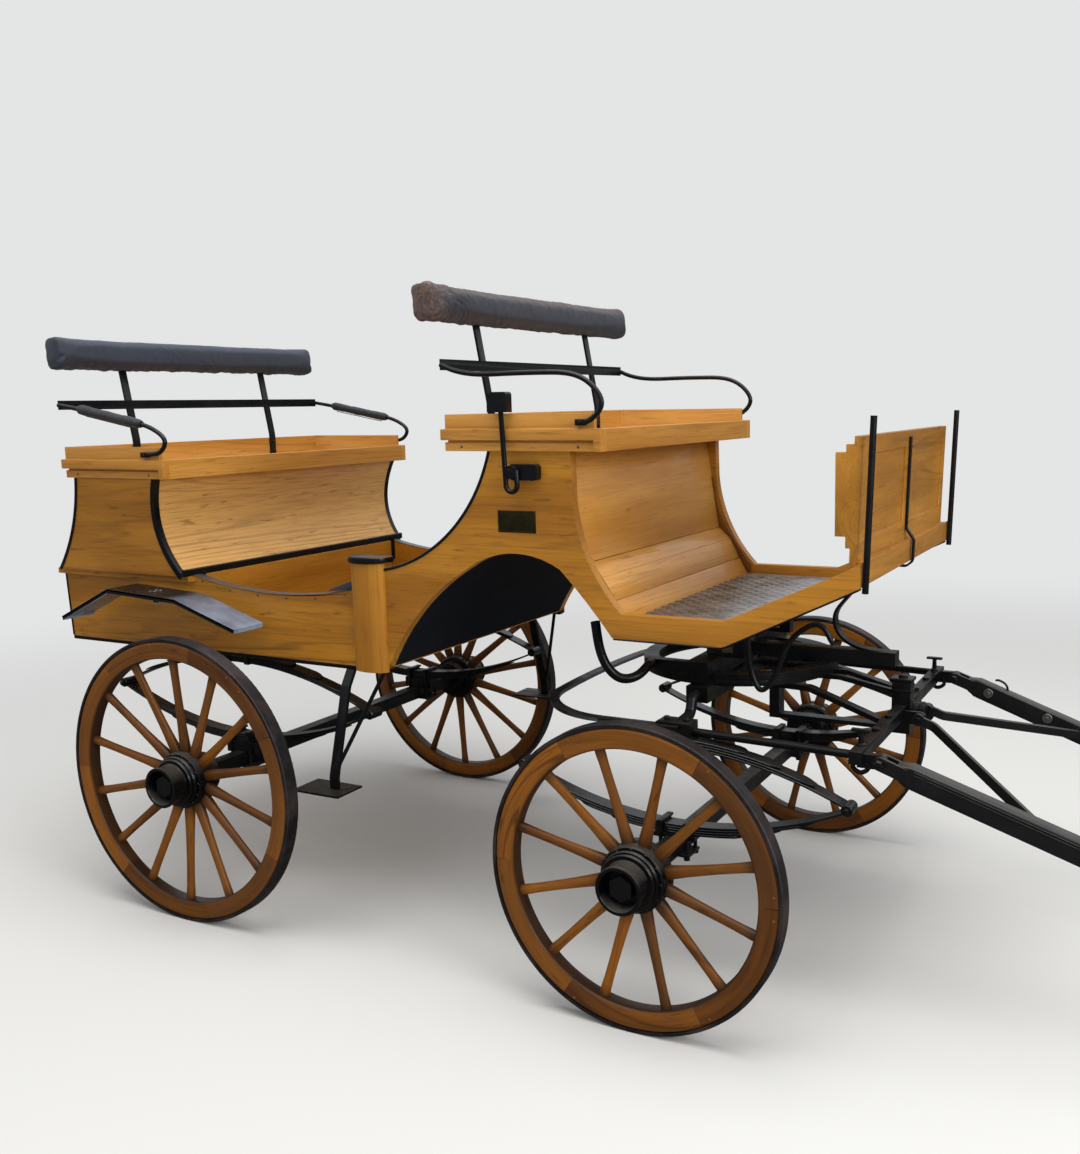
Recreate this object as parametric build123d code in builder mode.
from build123d import *
from math import asin, atan2, cos, degrees, pi, radians, sin, tan
import os

# Horse-drawn four-wheeled open carriage, parked with its shafts on the ground.
# Millimetres. +X points forwards, +Y to the carriage's left, +Z up. The ground is Z = 0.
# Lengthwise positions below are measured from the front axle.

# Wheels and axles
front_wheel_radius = 400
rear_wheel_radius = 446
wheelbase = 1545
half_track = 744
front_spokes = 12
rear_spokes = 14
tyre_width = 44
tyre_thickness = 10
felloe_depth = 54
felloe_width = 46
spoke_root_radius = 18
spoke_tip_radius = 11
spoke_tenon = 12
dish = 24
hub_radius = 88
hub_inner_radius = 64
hub_collar_radius = 74
nose_radius = 62
nose_wall = 11
hub_inboard = 96
hub_barrel_half = 34
hub_collar_length = 22
nose_outboard = 84
nose_depth = 38
axle_arm_radius = 21
axle_beam = 44
axle_nut_radius = 34
axle_nut_length = 22
axle_shoulder = 12
axle_shoulder_rise = 9
spring_pad_half = 60
spring_pad_rim = 6

# Clearances
fit_gap = 0.3
pin_gap = 0.1
turn_gap = 1.0

# Elliptic springs, eye to eye, with graduated leaves
leaf_thickness = 7
leaf_width = 45
leaf_count = 4
leaf_step = 0.2
spring_eye_radius = 15
spring_inside_body = 47
front_spring_eye_z = 560
front_spring_half = 470
front_spring_camber = 105
rear_spring_eye_z = 645
rear_spring_half = 530
rear_spring_camber = 118

# Body, seen from the side
body_half_width = 517
side_thickness = 30
body_bottom_z = 801
body_rear_x = -2278
rail_rear_x = -2290
rail_z = 1041
rail_height = 18
rail_proud = 26
arch_rear_x = -913
arch_shoulder = (-608, 1122)
arch_shoulder_bulge = (-806, 962)
arch_crown = (-455, 1166)
arch_front_shoulder = (-318, 1128)
arch_fall_bulge = (-238, 1043)
arch_front_x = -164
under_arch_z = 600
arch_lining = 8
board = 18
floor_thickness = 24
step_sill_z = 1002
step_sill_x = -1400
sill_drop = 6
spring_rest_half = 70
pillar_x = -968
pillar_radius = 60
pillar_top_z = 1118
pillar_cap_height = 18
pillar_cap_overhang = 7
upper_side = ((-906, 1104), (-807, 1132), (-706, 1194), (-627, 1281), (-537, 1445))
seat_side_front = ((-278, 1445), (-275, 1317), (-254, 1212), (-196, 1107), (-136, 1018))
footboard_z = 953
footboard_bend_x = 150
footboard_rail = 66
toe_x = 502
toe_z = 1124
floor_below_rail = 36
mat_thickness = 6
riser_boards = ((-312, 1445), (-262, 1143), (-221, 1105), (-188, 1040))
riser_foot_x = -156
riser_depth = 600

# Seats: length runs back to front, the rim is higher at the sides and back
seat_base_height = 60
seat_rim_height = 40
seat_rim_inset = 10
seat_board = 16
seat_wall = 24
front_seat_x = (-674, -172)
front_seat_overhang = 24
front_seat_z = 1445
rear_seat_x = (-2145, -1679)
rear_seat_overhang = 88
rear_seat_z = 1355
seat_tier = 9
seat_groove = 6
seat_tier_z = (24, 30)
seat_front_proud = 7

# Rear seat box, flaring outwards to the seat: height, rear x, front x, reach beyond the body side
rear_box = ((1041, -2262, -1684, 39), (1210, -2150, -1760, 57), (1355, -2100, -1731, 75))
kick_x = -1694

# Backrests and arm irons
backrest_lift = 344
backrest_lean = 45
backrest_post_inset = 192
backrest_post = (26, 8)
backrest_band_height = 30
roll_height = 108
roll_depth = 76
front_roll_overhang = 39
rear_roll_overhang = -13
arm_radius = 7
# Arm irons ahead of the back band: reach from the seat's front edge, height above the rim
front_arm = ((-428, 113), (-288, 106), (-158, 106), (-68, 95), (-14, 59), (2, 25), (-18, -8), (-60, -24))
rear_arm = ((-358, 120), (-221, 96), (-86, 72), (-21, 50), (14, 16), (-6, -12), (-40, -21), (-76, -24))
arm_foot = (28, 14, 16)
band_above_rim = 135

# Dash
dash_lean = 2.0
dash_base = 14
dash_height = 345
dash_thickness = 20
dash_stile = 42
dash_middle_stile = 74
dash_top_rail = 44
dash_bottom_rail = 96
dash_recess = 7
dash_cleat = (8, 91, 340)
dash_wing = (34, 119, 321)
stanchion_radius = 8
stanchion_above = 48
stanchion_below = 14
stanchion_inset = 17
strap_width = 16
strap_thickness = 6
toe_board_height = 60

# Mudguards and steps
mudguard_half = 60
mudguard_thickness = 8
mudguard_line = ((-2128, 905), (-1905, 1008), (-1610, 992), (-1368, 915))
mudguard_clear = 2
bracket_width = 26
bracket_drop = 34
bracket_thickness = 6
step_x = -1058
step_reach = 93
step_z = 440
step_plate = (170, 110, 6)
step_hanger = (30, 11)

# Turntable and draught gear
bed_inside_spring = 135
ring_inside_bed = 45
ring_width = 45
ring_thickness = 16
lower_ring_z = 790
bed_width = 64
bed_height = 40
king_pin_radius = 14
saddle_height = 42
sway_reach = 445
sway_corner = 230
sway_bar = (30, 10)
splinter_x = 490
splinter_z = 700
splinter_end = 30
splinter_size = 32
block_half = (26, 24)
block_z = (-66, 84)
front_beam_end = 472
beam_half = 24
gooseneck_radius = 13
floor_post_y = (180, 214)
hook_width = 34
hook_thickness = 8
toe_hook = ((352, 0), (322, 1005), (294, 962), (298, 918), (335, 880), (400, 862), (455, 857))
under_stay_x = (100, 130)
under_stay_z = 640
under_stay_half = 24
shaft_pivot_x = 548
shaft_pivot_z = 690
shaft_pin_radius = 8
shaft_lug = 20
shaft_cheek = 10
stay_y = 62
shaft_tip_x = 2450
shaft_tip_radius = 17

# Hand brake
brake_x = -442
brake_z = 1390
brake_eye_radius = 18
brake_pin_radius = 9
brake_block = (-12, 75, 22)
brake_arm_radius = 7
brake_clear_of_seat = 9
brake_hook_z = -52
brake_grip = (60, 30, 54)
brake_grip_z = 186

# Widths that follow the body
spring_y = body_half_width - spring_inside_body
shaft_y = spring_y
splinter_half = shaft_y + splinter_end
bed_half = spring_y - bed_inside_spring
ring_radius = bed_half - ring_inside_bed
front_seat_half = body_half_width + front_seat_overhang
rear_seat_half = body_half_width + rear_seat_overhang
front_roll_half = front_seat_half + front_roll_overhang
rear_roll_half = rear_seat_half + rear_roll_overhang
backrest_post_y = body_half_width - backrest_post_inset
step_y = body_half_width + step_reach

# The longest reach behind and ahead of the front axle puts the frame's origin midway.
front_axle_x = -(shaft_tip_x + shaft_tip_radius + rail_rear_x) / 2
sides = (("right", -1), ("left", 1))


def side_plane(y):
    """A vertical lengthwise plane at y: local x is measured from the front axle, local y is height."""
    return Plane(origin=(front_axle_x, y, 0), x_dir=(1, 0, 0), z_dir=(0, -1, 0))


def spot(x, y, z):
    """A point given from the front axle."""
    return Vector(front_axle_x + x, y, z)


def place_box(x_range, y_range, z_range, mode=Mode.ADD):
    """A box between three pairs of limits, with x from the front axle."""
    size = [b - a for a, b in (x_range, y_range, z_range)]
    middle = [(a + b) / 2 for a, b in (x_range, y_range, z_range)]
    with Locations(spot(*middle)):
        Box(*size, mode=mode)


def rod(points, radius, radii=None):
    """A round bar along straight runs joined by tangent arcs."""
    with BuildLine() as path:
        if radii is None:
            Polyline(*points)
        else:
            FilletPolyline(*points, radius=radii)
    with BuildSketch(Plane(origin=path.line @ 0, z_dir=path.line % 0)) as section:
        Circle(radius)
    sweep(sections=section.sketch, path=path.line)


def flat_bar(points, width, thickness, radii, flat):
    """A flat bar along straight runs and arcs; flat is the direction its width faces."""
    with BuildLine() as path:
        FilletPolyline(*points, radius=radii)
    with BuildSketch(Plane(origin=path.line @ 0, x_dir=flat, z_dir=path.line % 0)) as section:
        Rectangle(width, thickness)
    sweep(sections=section.sketch, path=path.line)


def through(points):
    """The smooth line that a forged bar follows through its points."""
    with BuildLine() as path:
        Spline(*points)
    return path.line


def bent_rod(points, radius):
    """A round bar forged to a smooth line."""
    path = through(points)
    with BuildSketch(Plane(origin=path @ 0, z_dir=path % 0)) as section:
        Circle(radius)
    sweep(sections=section.sketch, path=path)


def bent_bar(points, width, thickness, flat):
    """A flat bar forged to a smooth line; flat is the direction its width faces."""
    path = through(points)
    with BuildSketch(Plane(origin=path @ 0, x_dir=flat, z_dir=path % 0)) as section:
        Rectangle(width, thickness)
    sweep(sections=section.sketch, path=path)


os.makedirs("parts", exist_ok=True)


def save(part, name):
    part.label = name
    export_step(part, "parts/" + name + ".step")


# Wheels: an iron tyre on wooden felloes, tapered spokes dished towards a stepped hub
def make_wheel(name, x, side, radius, count):
    centre = spot(x, side * half_track, radius)
    outward = Vector(0, side, 0)
    section = Plane(origin=centre, x_dir=(1, 0, 0), z_dir=(0, 0, side))
    axis = Axis(centre, outward)
    felloe_outer = radius - tyre_thickness - fit_gap
    felloe_mid = felloe_outer - felloe_depth / 2

    with BuildPart() as tyre:
        with BuildSketch(section):
            with Locations((radius - tyre_thickness / 2, 0)):
                Rectangle(tyre_thickness, tyre_width)
            outer_corners = vertices().group_by(Axis((0, 0, 0), section.x_dir))[-1]
            fillet(outer_corners, tyre_thickness / 4)
        revolve(axis=axis)
    save(tyre.part, name + "_tyre")

    with BuildPart() as wood:
        with BuildSketch(section):
            with Locations((felloe_mid, 0)):
                RectangleRounded(felloe_depth, felloe_width, felloe_width / 6)
        revolve(axis=axis)
        for i in range(count):
            angle = 2 * pi * (i + 0.5) / count
            radial = Vector(cos(angle), 0, sin(angle))
            root = centre + radial * (hub_radius + fit_gap) - outward * dish
            tip = centre + radial * (felloe_outer - felloe_depth + spoke_tenon)
            with BuildSketch(Plane(origin=root, x_dir=outward, z_dir=tip - root)):
                Ellipse(spoke_root_radius * 0.85, spoke_root_radius)
            with BuildSketch(Plane(origin=tip, x_dir=outward, z_dir=tip - root)):
                Circle(spoke_tip_radius)
            loft()
        with BuildSketch(Plane(origin=centre - outward * (dish + hub_barrel_half), z_dir=outward)):
            Circle(hub_radius + fit_gap)
        extrude(amount=2 * hub_barrel_half, mode=Mode.SUBTRACT)
    save(wood.part, name + "_wood")

    bore = axle_arm_radius + pin_gap
    barrel_in = -dish - hub_barrel_half
    barrel_out = -dish + hub_barrel_half
    collar_out = barrel_out + hub_collar_length
    hub_line = (
        (bore, -hub_inboard),
        (hub_inner_radius, -hub_inboard),
        (hub_inner_radius, barrel_in),
        (hub_radius, barrel_in),
        (hub_radius, barrel_out),
        (hub_collar_radius, barrel_out),
        (hub_collar_radius, collar_out),
        (nose_radius, collar_out),
        (nose_radius, nose_outboard),
        (nose_radius - nose_wall, nose_outboard),
        (nose_radius - nose_wall, nose_outboard - nose_depth),
        (bore, nose_outboard - nose_depth),
    )
    with BuildPart() as hub:
        with BuildSketch(section):
            with BuildLine():
                Polyline(*hub_line, close=True)
            make_face()
        revolve(axis=axis)
        chamfer(hub.edges().filter_by(GeomType.CIRCLE).group_by(Axis(centre, outward))[-1], 3)
    save(hub.part, name + "_hub")


wheels = (
    ("front_wheel", 0, front_wheel_radius, front_spokes),
    ("rear_wheel", -wheelbase, rear_wheel_radius, rear_spokes),
)
for wheel_name, wheel_x, wheel_radius, wheel_count in wheels:
    for side_name, side in sides:
        make_wheel(wheel_name + "_" + side_name, wheel_x, side, wheel_radius, wheel_count)


# Axles: a square beam with a round arm, a shoulder and a nut at each end
def make_axle(name, x, height, pad_top):
    shoulder = half_track - hub_inboard - turn_gap
    nut_in = half_track + nose_outboard - nose_depth + turn_gap
    with BuildPart() as axle:
        half = axle_beam / 2
        beam_end = shoulder - axle_shoulder
        place_box((x - half, x + half), (-beam_end, beam_end), (height - half, height + half))
        for _, side in sides:
            with BuildSketch(Plane(origin=spot(x, side * beam_end, height), z_dir=(0, side, 0))):
                Circle(half + axle_shoulder_rise)
            extrude(amount=axle_shoulder)
            with BuildSketch(Plane(origin=spot(x, side * shoulder, height), z_dir=(0, side, 0))):
                Circle(axle_arm_radius)
            extrude(amount=nut_in - shoulder)
            with BuildSketch(Plane(origin=spot(x, side * nut_in, height), z_dir=(0, side, 0))):
                RegularPolygon(axle_nut_radius, 6)
            extrude(amount=axle_nut_length)
            pad_half = leaf_width / 2 + spring_pad_rim
            y_range = sorted((side * (spring_y - pad_half), side * (spring_y + pad_half)))
            place_box((x - spring_pad_half, x + spring_pad_half), y_range, (height + half - spring_pad_rim, pad_top))
    save(axle.part, name)


leaf_pack = leaf_thickness * leaf_count
rear_spring_top = rear_spring_eye_z + rear_spring_camber + leaf_pack
front_spring_bottom = front_spring_eye_z - front_spring_camber - leaf_pack
front_spring_top = front_spring_eye_z + front_spring_camber + leaf_pack
rear_spring_bottom = rear_spring_eye_z - rear_spring_camber - leaf_pack
make_axle("front_axle", 0, front_wheel_radius, front_spring_bottom)
make_axle("rear_axle", -wheelbase, rear_wheel_radius, rear_spring_bottom)


# Elliptic springs: two bowed stacks of graduated leaves meeting at an eye at each end
def make_spring(name, x, y, eye_z, half, camber):
    bow_radius = (half * half + camber * camber) / (2 * camber)
    spread = degrees(asin(half / bow_radius))
    with BuildPart() as spring:
        for up in (-1, 1):
            for i in range(leaf_count):
                inner = bow_radius + i * leaf_thickness
                reach = spread * (1 - i * leaf_step)
                with BuildSketch(side_plane(y)):
                    with BuildLine():
                        centre = (x, eye_z + up * (camber - bow_radius))
                        middle = 90 * up
                        low = CenterArc(centre, inner, middle - reach, 2 * reach)
                        high = CenterArc(centre, inner + leaf_thickness, middle - reach, 2 * reach)
                        Line(low @ 0, high @ 0)
                        Line(low @ 1, high @ 1)
                    make_face()
                extrude(amount=leaf_width / 2, both=True)
        for end in (-1, 1):
            with BuildSketch(side_plane(y)):
                with Locations((x + end * half, eye_z)):
                    Circle(spring_eye_radius)
            extrude(amount=leaf_width / 2 + 4, both=True)
    save(spring.part, name)


for side_name, side in sides:
    make_spring("front_spring_" + side_name, 0, side * spring_y,
                front_spring_eye_z, front_spring_half, front_spring_camber)
    make_spring("rear_spring_" + side_name, -wheelbase, side * spring_y,
                rear_spring_eye_z, rear_spring_half, rear_spring_camber)

# Body sides: one board each, with the wheel arch, the low entrance and the footboard rail
side_inner = body_half_width - side_thickness
rail_top_at_bend = footboard_z + footboard_rail
slope = atan2(toe_z - footboard_z, toe_x - footboard_bend_x)


def arch_curve():
    """The wheel arch from its rear foot to its front foot."""
    rise = ThreePointArc((arch_rear_x, body_bottom_z), arch_shoulder_bulge, arch_shoulder)
    crown = ThreePointArc(rise @ 1, arch_crown, arch_front_shoulder)
    fall = ThreePointArc(crown @ 1, arch_fall_bulge, (arch_front_x, footboard_z))
    return rise, crown, fall


for side_name, side in sides:
    with BuildPart() as panel:
        with BuildSketch(side_plane(side * (body_half_width - side_thickness / 2))):
            with BuildLine():
                Line((body_rear_x, body_bottom_z), (arch_rear_x, body_bottom_z))
                arch_curve()
                Polyline(
                    (arch_front_x, footboard_z),
                    (footboard_bend_x, footboard_z),
                    (toe_x, toe_z),
                    (toe_x, toe_z + toe_board_height),
                    (toe_x - 54, toe_z + toe_board_height - 30),
                    (footboard_bend_x, rail_top_at_bend),
                    seat_side_front[-1],
                )
                ThreePointArc(seat_side_front[-1], seat_side_front[2], seat_side_front[1])
                Line(seat_side_front[1], seat_side_front[0])
                Line(seat_side_front[0], upper_side[-1])
                ThreePointArc(upper_side[-1], upper_side[-3], upper_side[0])
                Polyline(
                    upper_side[0],
                    (pillar_x, upper_side[0][1]),
                    (pillar_x, rail_z - sill_drop),
                )
                sill_ends = ((pillar_x, rail_z - sill_drop), (kick_x + board, rail_z))
                ThreePointArc(sill_ends[0], (step_sill_x, step_sill_z), sill_ends[1])
                Line((kick_x + board, rail_z), (rail_rear_x, rail_z))
                Line((rail_rear_x, rail_z), (body_rear_x, body_bottom_z))
            make_face()
        extrude(amount=side_thickness / 2, both=True)
        rail_y = sorted((side * body_half_width, side * (body_half_width + rail_proud)))
        place_box((rail_rear_x, kick_x + board), rail_y, (rail_z - rail_height, rail_z))
    save(panel.part, "body_side_" + side_name)

# Rounded pillars with caps, at the front of each entrance
with BuildPart() as pillars:
    for _, side in sides:
        face = side * body_half_width
        clip_y = sorted((face, face + side * 2 * pillar_radius))
        base = Plane(origin=spot(pillar_x, face, body_bottom_z - 8), x_dir=(1, 0, 0), z_dir=(0, 0, 1))
        with BuildSketch(base):
            Ellipse(pillar_radius, pillar_radius / 2)
            with Locations((0, -side * pillar_radius)):
                Rectangle(4 * pillar_radius, 2 * pillar_radius, mode=Mode.SUBTRACT)
        extrude(amount=pillar_top_z - body_bottom_z + 8)
        cap_radius = pillar_radius + pillar_cap_overhang
        with BuildSketch(base.offset(pillar_top_z - body_bottom_z + 8)):
            Ellipse(cap_radius, pillar_radius / 2 + pillar_cap_overhang)
            with Locations((0, side * cap_radius)):
                Rectangle(4 * cap_radius, 2 * cap_radius, mode=Mode.INTERSECT)
            with Locations((0, -side * side_thickness / 2)):
                Rectangle(2 * cap_radius, side_thickness)
        extrude(amount=pillar_cap_height)
save(pillars.part, "pillars")

# Floor of the rear well, on pads over the springs, with the tail board and the board below the seat
with BuildPart() as rear_floor:
    place_box((body_rear_x + side_thickness, arch_rear_x), (-side_inner, side_inner),
              (body_bottom_z, body_bottom_z + floor_thickness))
    for _, side in sides:
        pad_y = sorted((side * (spring_y - leaf_width / 2), side * side_inner))
        place_box((-wheelbase - spring_rest_half, -wheelbase + spring_rest_half), pad_y,
                  (rear_spring_top, body_bottom_z))
save(rear_floor.part, "rear_floor")

with BuildPart() as tail_board:
    with BuildSketch(side_plane(0)):
        with BuildLine():
            Polyline(
                (body_rear_x, body_bottom_z),
                (body_rear_x + side_thickness, body_bottom_z),
                (rail_rear_x + side_thickness, rail_z),
                (rail_rear_x, rail_z),
                close=True,
            )
        make_face()
    extrude(amount=side_inner, both=True)
save(tail_board.part, "tail_board")

with BuildPart() as seat_kick:
    place_box((kick_x, kick_x + board), (-side_inner, side_inner),
              (body_bottom_z + floor_thickness, rail_z))
save(seat_kick.part, "rear_seat_kickboard")

# Arch lining: one bowed sheet from side to side over the front wheels
with BuildPart() as lining:
    with BuildSketch(side_plane(0)) as lining_sketch:
        with BuildLine():
            arch_curve()
            Line((arch_front_x, footboard_z), (arch_rear_x, body_bottom_z))
        make_face()
        offset(amount=arch_lining)
        with BuildLine():
            arch_curve()
            Polyline((arch_front_x, footboard_z), (arch_front_x, under_arch_z), (arch_rear_x, under_arch_z),
                     (arch_rear_x, body_bottom_z))
        make_face(mode=Mode.SUBTRACT)
        with BuildLine():
            beyond = 5 * arch_lining
            Polyline((arch_rear_x - beyond, body_bottom_z), (arch_rear_x, body_bottom_z),
                     (arch_front_x, footboard_z), (arch_front_x + beyond, footboard_z),
                     (arch_front_x + beyond, under_arch_z), (arch_rear_x - beyond, under_arch_z), close=True)
        make_face(mode=Mode.SUBTRACT)
    extrude(amount=side_inner, both=True)
    place_box((arch_rear_x - 30, arch_rear_x + 2), (-side_inner, side_inner),
              (body_bottom_z, body_bottom_z + floor_thickness), mode=Mode.SUBTRACT)
save(lining.part, "arch_lining")

# Rear seat box, flared and open above and below
with BuildPart() as seat_box:
    for shell in (0, board):
        for z, x_rear, x_front, flare in rear_box:
            half = body_half_width + flare
            with BuildSketch(Plane.XY.offset(z)):
                with Locations((front_axle_x + (x_rear + x_front) / 2, 0)):
                    Rectangle(x_front - x_rear - 2 * shell, 2 * (half - shell))
        loft(mode=Mode.SUBTRACT if shell else Mode.ADD)
save(seat_box.part, "rear_seat_box")


# Seat trays: a base in two tiers with a dark groove between, a raised rim at the sides and back, and a
# front board that stands a little proud
def make_tray(name, x_range, half, z):
    rear, front = x_range
    inner_half = half - seat_wall
    groove_low, groove_high = z + seat_tier_z[0], z + seat_tier_z[1]
    base_top = z + seat_base_height
    with BuildPart() as tray:
        for z_range, inset in (
            ((z, groove_low), seat_tier),
            ((groove_low, groove_high), seat_tier + seat_groove),
            ((groove_high, base_top), 0),
        ):
            place_box((rear + inset, front - seat_front_proud), (inset - half, half - inset), z_range)
        place_box((front - seat_wall, front), (-half, half), (z, base_top))
        place_box((rear + seat_wall, front - seat_wall), (-inner_half, inner_half),
                  (z + seat_board, base_top), mode=Mode.SUBTRACT)
        rim_y = half - seat_rim_inset
        rim_z = (base_top, base_top + seat_rim_height)
        place_box((rear + seat_rim_inset, front - seat_wall), (-rim_y, rim_y), rim_z)
        place_box((rear + seat_wall, front + 1), (-inner_half, inner_half), rim_z, mode=Mode.SUBTRACT)
    save(tray.part, name)


make_tray("front_seat_tray", front_seat_x, front_seat_half, front_seat_z)
make_tray("rear_seat_tray", rear_seat_x, rear_seat_half, rear_seat_z)

# Upright board behind the front seat box
front_back_x = upper_side[-1][0] - board
with BuildPart() as front_back:
    with BuildSketch(side_plane(0)):
        with BuildLine():
            arch_line = arch_curve()
            Polyline((arch_front_x, footboard_z), (arch_front_x, front_seat_z), (arch_rear_x, front_seat_z),
                     (arch_rear_x, body_bottom_z))
        make_face()
        with Locations((front_back_x + board / 2, front_seat_z - riser_depth / 2)):
            Rectangle(board, riser_depth, mode=Mode.INTERSECT)
        with BuildLine():
            arch_curve()
            Line((arch_front_x, footboard_z), (arch_rear_x, body_bottom_z))
        make_face(mode=Mode.SUBTRACT)
    extrude(amount=side_inner, both=True)
    add(lining.part, mode=Mode.SUBTRACT)
save(front_back.part, "front_seat_back_board")

# Riser below the front seat: boards laid to a hollow curve
floor_top_z = rail_top_at_bend - floor_below_rail
with BuildPart() as riser:
    with BuildSketch(side_plane(0)):
        with BuildLine() as riser_line:
            Polyline(*riser_boards, (riser_foot_x, floor_top_z))
            offset(amount=board, side=Side.RIGHT, closed=True)
        make_face()
        with Locations((riser_foot_x, front_seat_z + board)):
            Rectangle(riser_depth, 2 * board, mode=Mode.SUBTRACT)
        with Locations((riser_foot_x, floor_top_z - board)):
            Rectangle(riser_depth, 2 * board, mode=Mode.SUBTRACT)
    extrude(amount=side_inner, both=True)
save(riser.part, "front_seat_riser")

# Footboard, rising to the dash, with its mat
dash_face_x = toe_x - board - fit_gap
foot_front_x = dash_face_x - dash_thickness - fit_gap
foot_rise = (foot_front_x - footboard_bend_x) * tan(slope)
foot_rear_x = arch_front_x + 2
with BuildPart() as footboard:
    with BuildSketch(side_plane(0)):
        with BuildLine():
            Polyline(
                (foot_rear_x, floor_top_z - board),
                (footboard_bend_x, floor_top_z - board),
                (foot_front_x, floor_top_z - board + foot_rise),
                (foot_front_x, floor_top_z + foot_rise),
                (footboard_bend_x, floor_top_z),
                (foot_rear_x, floor_top_z),
                close=True,
            )
        make_face()
    extrude(amount=side_inner, both=True)
save(footboard.part, "footboard")

mat_rear_x = riser_foot_x + 6
with BuildPart() as mat:
    with BuildSketch(side_plane(0)):
        with BuildLine():
            Polyline(
                (mat_rear_x, floor_top_z),
                (footboard_bend_x, floor_top_z),
                (foot_front_x, floor_top_z + foot_rise),
                (foot_front_x, floor_top_z + foot_rise + mat_thickness),
                (footboard_bend_x, floor_top_z + mat_thickness),
                (mat_rear_x, floor_top_z + mat_thickness),
                close=True,
            )
        make_face()
    extrude(amount=side_inner - 12, both=True)
save(mat.part, "footboard_mat")

# Dash: a leaning frame with two sunk panels, side wings and the board it stands behind
dash_tilt = radians(dash_lean)
dash_up = Vector(sin(dash_tilt), 0, cos(dash_tilt))
dash_out = Vector(cos(dash_tilt), 0, -sin(dash_tilt))
dash_foot = spot(dash_face_x, 0, toe_z)
dash_face = Plane(origin=dash_foot, x_dir=(0, 1, 0), z_dir=dash_out)
with BuildPart() as dash:
    with BuildSketch(dash_face):
        with Locations((0, dash_base + dash_height / 2)):
            Rectangle(2 * side_inner, dash_height)
    extrude(amount=-dash_thickness)
    sunk_width = side_inner - dash_stile - dash_middle_stile / 2
    sunk_height = dash_height - dash_top_rail - dash_bottom_rail
    with BuildSketch(dash_face):
        with Locations((0, dash_base + dash_bottom_rail + sunk_height / 2)):
            with GridLocations(sunk_width + dash_middle_stile, 0, 2, 1):
                Rectangle(sunk_width, sunk_height)
    extrude(amount=-dash_recess, mode=Mode.SUBTRACT)
    wing_root = dash_face_x - dash_thickness
    for _, side in sides:
        wing_y = sorted((side * side_inner, side * (side_inner - board)))
        for depth, low, high in (dash_cleat, dash_wing):
            place_box((wing_root - depth, dash_face_x - dash_recess), wing_y, (toe_z + low, toe_z + high))
save(dash.part, "dash_panel")

with BuildPart() as toe_board:
    with BuildSketch(dash_face):
        with Locations((0, toe_board_height / 2)):
            Rectangle(2 * side_inner, toe_board_height)
    extrude(amount=board)
save(toe_board.part, "toe_board")

# Dash irons: two uprights and a middle strap that hooks under the toe board
iron_foot_z = toe_z - stanchion_below
with BuildPart() as dash_irons:
    for _, side in sides:
        foot_y = side * (body_half_width - stanchion_inset)
        foot = spot(toe_x + stanchion_radius + fit_gap, foot_y, iron_foot_z)
        top = foot + dash_up * (stanchion_below + dash_height + dash_base + stanchion_above)
        rod((foot, top), stanchion_radius)
save(dash_irons.part, "dash_irons")

with BuildPart() as strap:
    flat_out = strap_thickness / 2 + fit_gap
    proud_out = board + strap_thickness + 2 * turn_gap
    strap_line = (
        (dash_base + dash_height - strap_width, flat_out),
        (toe_board_height + 2 * strap_width, flat_out),
        (toe_board_height, proud_out),
        (0, proud_out),
        (-2.5 * strap_thickness, board / 2),
        (-2.5 * strap_thickness, -board / 2),
    )
    strap_points = [dash_foot + dash_up * up + dash_out * out for up, out in strap_line]
    flat_bar(strap_points, strap_width, strap_thickness, strap_width, (0, 1, 0))
save(strap.part, "dash_strap")


# Backrests: two leaning posts, a band across, arm irons, and a stuffed roll on top
def make_backrest(name, x_range, half, z, roll_half, arm_line):
    rear, front = x_range
    rim_top = z + seat_base_height + seat_rim_height
    base_z = z + seat_board
    post_x = rear + seat_wall + backrest_post[1] / 2 + fit_gap
    roll_z = z + seat_base_height + backrest_lift
    roll_x = post_x - backrest_lean
    bend_z = rim_top + 12
    band_z = rim_top + band_above_rim
    band_x = post_x - backrest_lean * (band_z - bend_z) / (roll_z - bend_z)
    band_rise = backrest_band_height / 2
    band_thick = backrest_post[1] - 2
    with BuildPart() as irons:
        for _, side in sides:
            foot = spot(post_x, side * backrest_post_y, base_z + fit_gap)
            bend = spot(post_x, side * backrest_post_y, bend_z)
            top = spot(roll_x, side * backrest_post_y, roll_z - roll_height / 2 + 12)
            flat_bar((foot, bend, top), backrest_post[0], backrest_post[1], 120, (0, 1, 0))
            arm_y = side * (half - seat_rim_inset + arm_radius + fit_gap)
            arm = [spot(band_x, arm_y, band_z)]
            arm += [spot(front + reach, arm_y, rim_top + rise) for reach, rise in arm_line]
            bent_rod(arm, arm_radius)
            with Locations(arm[-1]):
                Box(*arm_foot)
        place_box((band_x - band_thick / 2, band_x + band_thick / 2),
                  (-abs(arm_y), abs(arm_y)), (band_z - band_rise, band_z + band_rise))
    save(irons.part, name + "_irons")
    with BuildPart() as roll:
        with BuildSketch(Plane(origin=spot(roll_x, -roll_half, roll_z), x_dir=(1, 0, 0), z_dir=(0, 1, 0))):
            Ellipse(roll_depth / 2, roll_height / 2)
        extrude(amount=2 * roll_half)
        add(irons.part, mode=Mode.SUBTRACT)
    save(roll.part, name + "_roll")


make_backrest("front_backrest", front_seat_x, front_seat_half, front_seat_z, front_roll_half, front_arm)
make_backrest("rear_backrest", rear_seat_x, rear_seat_half, rear_seat_z, rear_roll_half, rear_arm)

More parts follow.
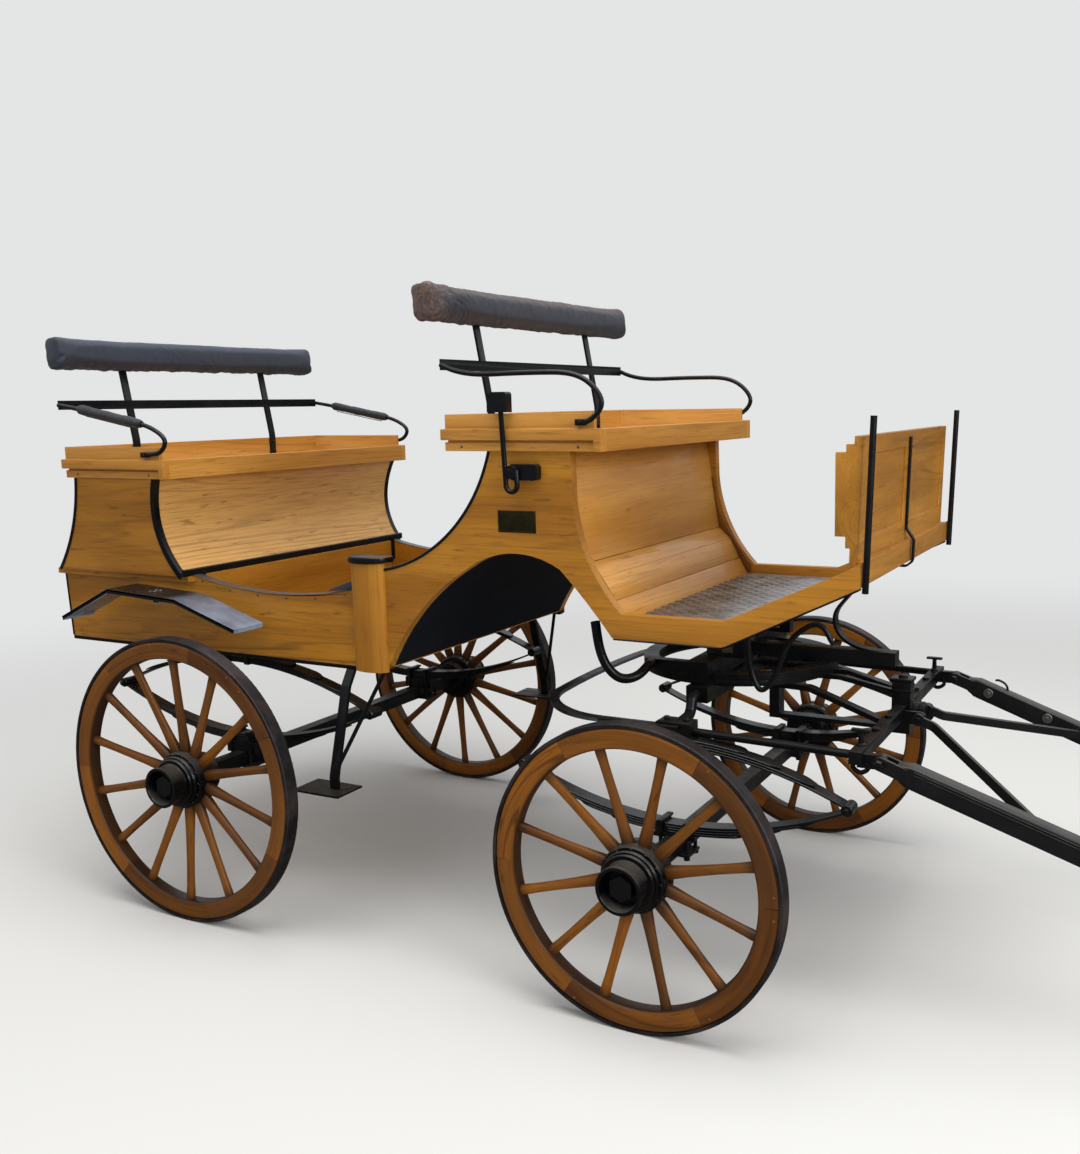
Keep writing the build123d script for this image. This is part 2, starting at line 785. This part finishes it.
# Mudguards over the rear wheels, on short brackets from the body side
with BuildPart() as mudguards:
    for _, side in sides:
        guard_y = side * (body_half_width + rail_proud + mudguard_clear + mudguard_half)
        with BuildSketch(side_plane(guard_y)):
            with BuildLine():
                Polyline(*mudguard_line)
                offset(amount=mudguard_thickness, side=Side.RIGHT, closed=True)
            make_face()
        extrude(amount=mudguard_half, both=True)
        _, (crest_x, crest_z), (fall_x, fall_z), _ = mudguard_line
        bracket_x = (crest_x + fall_x - bracket_width) / 2
        bracket_top = (crest_z + fall_z - mudguard_thickness) / 2
        bracket_low = bracket_top - bracket_drop
        bracket_range = (bracket_x, bracket_x + bracket_width)
        place_box(bracket_range, sorted((side * (body_half_width + fit_gap), guard_y)),
                  (bracket_low, bracket_low + bracket_thickness))
        place_box(bracket_range, sorted((guard_y - side * bracket_thickness, guard_y)), (bracket_low, bracket_top))
save(mudguards.part, "mudguards")

# Entry steps: a hanger from under the body, a brace and a foot plate
with BuildPart() as steps:
    for _, side in sides:
        top = spot(step_x, side * (body_half_width - 14), body_bottom_z - 6)
        knee = spot(step_x, side * (body_half_width + 20), body_bottom_z - 60)
        low = spot(step_x, side * step_y, step_z + 40)
        end = spot(step_x, side * step_y, step_z)
        flat_bar((top, knee, low, end), *step_hanger, 30, (1, 0, 0))
        brace_top = spot(step_x + 120, side * (body_half_width - 20), body_bottom_z - 6)
        rod((brace_top, spot(step_x + 8, side * step_y, step_z + 60)), 6)
        with Locations(spot(step_x - 30, side * step_y, step_z)):
            Box(*step_plate)
        with Locations(spot(step_x + 60, side * (body_half_width - 16), body_bottom_z - 4)):
            Box(180, 26, 8)
save(steps.part, "entry_steps")

# Upper turntable, fixed to the body: ring, bed, front beam and the irons up to the floor
upper_ring_z = lower_ring_z + ring_thickness + turn_gap
upper_bed_z = upper_ring_z + ring_thickness
upper_bed_top = upper_bed_z + bed_height
with BuildPart() as upper:
    with Locations(spot(0, 0, upper_ring_z + ring_thickness / 2)):
        Cylinder(ring_radius, ring_thickness)
        Cylinder(ring_radius - ring_width, ring_thickness, mode=Mode.SUBTRACT)
    half_bed = bed_width / 2
    place_box((-half_bed, half_bed), (-bed_half, bed_half), (upper_ring_z, upper_bed_top))
    place_box((0, front_beam_end), (-beam_half, beam_half), (upper_bed_z + fit_gap, upper_bed_top))
    with Locations(spot(0, 0, upper_bed_top)):
        Cylinder(king_pin_radius + pin_gap, 4 * bed_height, mode=Mode.SUBTRACT)
    under_floor = floor_top_z - board
    rear_arm_z = upper_bed_z + bed_height / 2
    for _, side in sides:
        arm_y = sorted((side * (bed_half - 50), side * (bed_half - 20)))
        place_box((-168, 0), arm_y, (upper_bed_z + 6, upper_bed_top - 6))
        gooseneck = (
            (-238, side_inner - 15, footboard_z + 32),
            (-228, side_inner - 17, upper_bed_top + 52),
            (-205, side_inner - 25, upper_bed_top - 7),
            (-172, side_inner - 39, upper_bed_top - 35),
            (-140, side_inner - 67, upper_bed_top - 31),
            (-130, side_inner - 107, upper_bed_top - 15),
            (-140, side_inner - 157, upper_bed_top - 14),
            (-150, bed_half - 40, rear_arm_z),
        )
        bent_rod([spot(x, side * y, z) for x, y, z in gooseneck], gooseneck_radius)
        post_y = sorted((side * floor_post_y[0], side * floor_post_y[1]))
        for post_x in (-20, 60):
            place_box((post_x, post_x + 34), post_y, (upper_bed_top - 8, under_floor))
        place_box((-20, 94), post_y, (upper_bed_top - 8, upper_bed_top + 6))
    hook_top = under_floor + (toe_hook[0][0] - footboard_bend_x) * tan(slope) - hook_thickness
    hook = [(toe_hook[0][0], hook_top)] + list(toe_hook[1:])
    bent_bar([spot(x, 0, z) for x, z in hook], hook_width, hook_thickness, (0, 1, 0))
save(upper.part, "turntable_upper")

# Lower turntable: ring, bed and king pin
lower_bed_z = lower_ring_z - bed_height
with BuildPart() as lower:
    with Locations(spot(0, 0, lower_ring_z + ring_thickness / 2)):
        Cylinder(ring_radius, ring_thickness)
        Cylinder(ring_radius - ring_width, ring_thickness, mode=Mode.SUBTRACT)
    place_box((-half_bed, half_bed), (-bed_half, bed_half), (lower_bed_z, lower_ring_z + 4))
    place_box((-half_bed, half_bed), (-60, 60), (lower_bed_z, lower_ring_z + ring_thickness))
    pin_top = upper_bed_top + 14
    with BuildSketch(Plane(origin=spot(0, 0, lower_bed_z - 20), z_dir=(0, 0, 1))):
        Circle(king_pin_radius)
    extrude(amount=pin_top - lower_bed_z + 20)
    with BuildSketch(Plane(origin=spot(0, 0, upper_bed_top + turn_gap), z_dir=(0, 0, 1))):
        RegularPolygon(king_pin_radius * 1.9, 6)
    extrude(amount=14)
save(lower.part, "turntable_lower")

# Fore irons: spring saddles, scrolled brackets up to the bed and the sway bar behind
saddle_top = front_spring_top + saddle_height
with BuildPart() as fore_irons:
    for _, side in sides:
        saddle_y = sorted((side * (spring_y - 30), side * (spring_y + 30)))
        place_box((-48, 48), saddle_y, (front_spring_top, saddle_top))
        scroll = (
            spot(0, side * (spring_y - 14), saddle_top - 14),
            spot(0, side * (spring_y - 90), saddle_top - 8),
            spot(0, side * (bed_half + 30), lower_bed_z + 22),
            spot(0, side * (bed_half + fit_gap), lower_bed_z + 22),
        )
        rod(scroll, 15, (30, 14))
    sway_z = saddle_top - sway_bar[1] / 2 - 6
    sway_y = spring_y + 30
    sway = (
        spot(20, -sway_y, sway_z),
        spot(-sway_reach, -sway_y, sway_z),
        spot(-sway_reach, sway_y, sway_z),
        spot(20, sway_y, sway_z),
    )
    flat_bar(sway, sway_bar[0], sway_bar[1], sway_corner, (0, 1, 0))
save(fore_irons.part, "fore_irons")

# Draught gear: splinter bar, side rods, sloping futchells, middle block and lower stay
with BuildPart() as draught:
    half_bar = splinter_size / 2
    place_box((splinter_x - half_bar, splinter_x + half_bar), (-splinter_half, splinter_half),
              (splinter_z - half_bar, splinter_z + half_bar))
    place_box((splinter_x - block_half[0], splinter_x + block_half[0]), (-block_half[1], block_half[1]),
              (splinter_z + block_z[0], splinter_z + block_z[1]))
    for _, side in sides:
        rod((spot(48 + fit_gap, side * spring_y, front_spring_top + 16),
             spot(splinter_x - 10, side * spring_y, splinter_z)), 11)
        futchell = (
            spot(half_bed + 2 * turn_gap, side * 115, lower_bed_z + 20),
            spot(ring_radius - 30, side * 135, lower_bed_z + 20),
            spot(splinter_x - 12, side * 165, splinter_z + 4),
        )
        flat_bar(futchell, 30, 14, 60, (0, 1, 0))
        brace_z = lower_ring_z - fit_gap - 6
        brace = (
            spot(ring_radius - ring_width, side * 38, brace_z),
            spot(ring_radius + 30, side * 36, brace_z),
            spot(splinter_x - 12, side * 15, splinter_z + 50),
        )
        flat_bar(brace, 18, 12, 40, (0, 1, 0))
    foot_z = (under_stay_z, under_stay_z + 12)
    foot_y = (-under_stay_half, under_stay_half)
    place_box(under_stay_x, foot_y, (under_stay_z, lower_bed_z + 16))
    place_box((half_bed + fit_gap, under_stay_x[1]), foot_y, (lower_bed_z + 2, lower_bed_z + 16))
    place_box((under_stay_x[0], splinter_x), (-18, 18), foot_z)
    for _, side in sides:
        for lug_y, thick, pin_from, pin_to in (
            (shaft_y, shaft_lug, -30, 30),
            (stay_y - 18, 14, 0, 34),
        ):
            lug_plane = side_plane(side * lug_y)
            with BuildSketch(lug_plane):
                with Locations((shaft_pivot_x, shaft_pivot_z)):
                    Circle(18)
                with BuildLine():
                    Polyline((splinter_x, shaft_pivot_z - 18), (shaft_pivot_x, shaft_pivot_z - 18),
                             (shaft_pivot_x, shaft_pivot_z + 18), (splinter_x, shaft_pivot_z + 18), close=True)
                make_face()
            extrude(amount=thick / 2, both=True)
            pin_start = spot(shaft_pivot_x, side * (lug_y + pin_from), shaft_pivot_z)
            with BuildSketch(Plane(origin=pin_start, z_dir=(0, side, 0))):
                Circle(shaft_pin_radius)
            extrude(amount=pin_to - pin_from)
save(draught.part, "draught_frame")

# Shafts: tapered ash timbers lying down to the ground, each with its jaw and diagonal stay
shaft_stations = (
    (40, 0, 0, 32, 36),
    (74, 0, 2, 46, 58),
    (600, 0, 30, 46, 60),
    (1150, 6, 80, 42, 52),
    (1600, 2, 125, 38, 44),
    (1800, -6, 140, 36, 38),
)


def shaft_half(side):
    """One shaft on the given side, lying from its pivot to the ground."""
    start = spot(shaft_pivot_x, side * shaft_y, shaft_pivot_z)
    tip = spot(shaft_tip_x, side * (shaft_y - 165), shaft_tip_radius)
    fall = atan2(tip.Z - start.Z, tip.X - start.X)
    along = Vector(cos(fall), 0, sin(fall))
    normal = Vector(-sin(fall), 0, cos(fall))
    with BuildPart() as shaft:
        for reach, rise, inward, width, height in shaft_stations:
            origin = start + along * reach + normal * rise - Vector(0, side * inward, 0)
            with BuildSketch(Plane(origin=origin, x_dir=(0, 1, 0), z_dir=along)):
                RectangleRounded(width, height, 9)
        with BuildSketch(Plane(origin=tip, x_dir=(0, 1, 0), z_dir=along)):
            RectangleRounded(2 * shaft_tip_radius - 2, 2 * shaft_tip_radius - 2, shaft_tip_radius - 2)
        loft(ruled=True)
        with Locations(tip):
            Sphere(shaft_tip_radius)
        cheek_gap = shaft_lug / 2 + turn_gap
        for off in (-1, 1):
            cheek_y = side * shaft_y + off * (cheek_gap + shaft_cheek / 2)
            origin = Vector(start.X, cheek_y, start.Z)
            with BuildSketch(Plane(origin=origin, x_dir=along, z_dir=(0, -1, 0))):
                Circle(17)
                with Locations((60, 0)):
                    Rectangle(120, 34)
                Circle(shaft_pin_radius + pin_gap, mode=Mode.SUBTRACT)
            extrude(amount=shaft_cheek / 2, both=True)
        stay_start = Vector(start.X, side * stay_y, start.Z)
        eye_plane = Plane(origin=stay_start, x_dir=along, z_dir=(0, -1, 0))
        with BuildSketch(eye_plane):
            Circle(17)
            Circle(shaft_pin_radius + pin_gap, mode=Mode.SUBTRACT)
        extrude(amount=6, both=True)
        stay_end = start + along * 430 - Vector(0, side * 20, 0)
        stay_points = (
            stay_start + along * 12,
            stay_start + along * 46,
            stay_end - along * 20 + Vector(0, -side * 10, 0),
            stay_end + along * 30,
        )
        flat_bar(stay_points, 12, 24, (20, 20), (0, 1, 0))
        with BuildSketch(eye_plane):
            Circle(shaft_pin_radius + pin_gap)
        extrude(amount=7, both=True, mode=Mode.SUBTRACT)
    return shaft.part


right_shaft = shaft_half(-1)
save(right_shaft, "shaft_right")
save(mirror(right_shaft, about=Plane.XZ, mode=Mode.PRIVATE), "shaft_left")

# Hand brake: a block on the right side with a pin, and a lever with an eye, a hooked foot and a grip
lever_y = -(max(front_seat_half, body_half_width) + brake_clear_of_seat)
block_face = lever_y + brake_arm_radius + turn_gap
with BuildPart() as brake_boss:
    block_rear, block_front, block_rise = brake_block
    place_box((brake_x + block_rear, brake_x + block_front), (block_face, -body_half_width),
              (brake_z - block_rise, brake_z + block_rise))
    fillet(brake_boss.edges().filter_by(Axis.Y), block_rise / 2)
    with BuildSketch(Plane(origin=spot(brake_x, -body_half_width, brake_z), z_dir=(0, -1, 0))):
        Circle(brake_pin_radius)
    extrude(amount=-lever_y - body_half_width + brake_arm_radius + turn_gap)
save(brake_boss.part, "brake_boss")

with BuildPart() as brake_lever:
    with BuildSketch(Plane(origin=spot(brake_x, lever_y - brake_arm_radius, brake_z), z_dir=(0, 1, 0))):
        Circle(brake_eye_radius)
        Circle(brake_pin_radius + pin_gap, mode=Mode.SUBTRACT)
    extrude(amount=2 * brake_arm_radius)
    lever_x = brake_x - brake_eye_radius
    hook_x = brake_x + brake_eye_radius + 1
    lever = (
        spot(lever_x - 9, lever_y, brake_z + brake_grip_z),
        spot(lever_x, lever_y, brake_z),
        spot(lever_x + 2, lever_y, brake_z + brake_hook_z),
        spot(hook_x, lever_y, brake_z + brake_hook_z),
        spot(hook_x - 2, lever_y, brake_z + 6),
    )
    rod(lever, brake_arm_radius, (60, 17, 17))
    with BuildSketch(Plane(origin=spot(brake_x, lever_y - brake_arm_radius, brake_z), z_dir=(0, 1, 0))):
        Circle(brake_pin_radius + pin_gap)
    extrude(amount=2 * brake_arm_radius, mode=Mode.SUBTRACT)
    with Locations(spot(lever_x - 12, lever_y, brake_z + brake_grip_z)):
        Box(*brake_grip)
    fillet(brake_lever.edges().filter_by(Axis.Y).group_by(Axis.Z)[-1], 8)
save(brake_lever.part, "brake_lever")
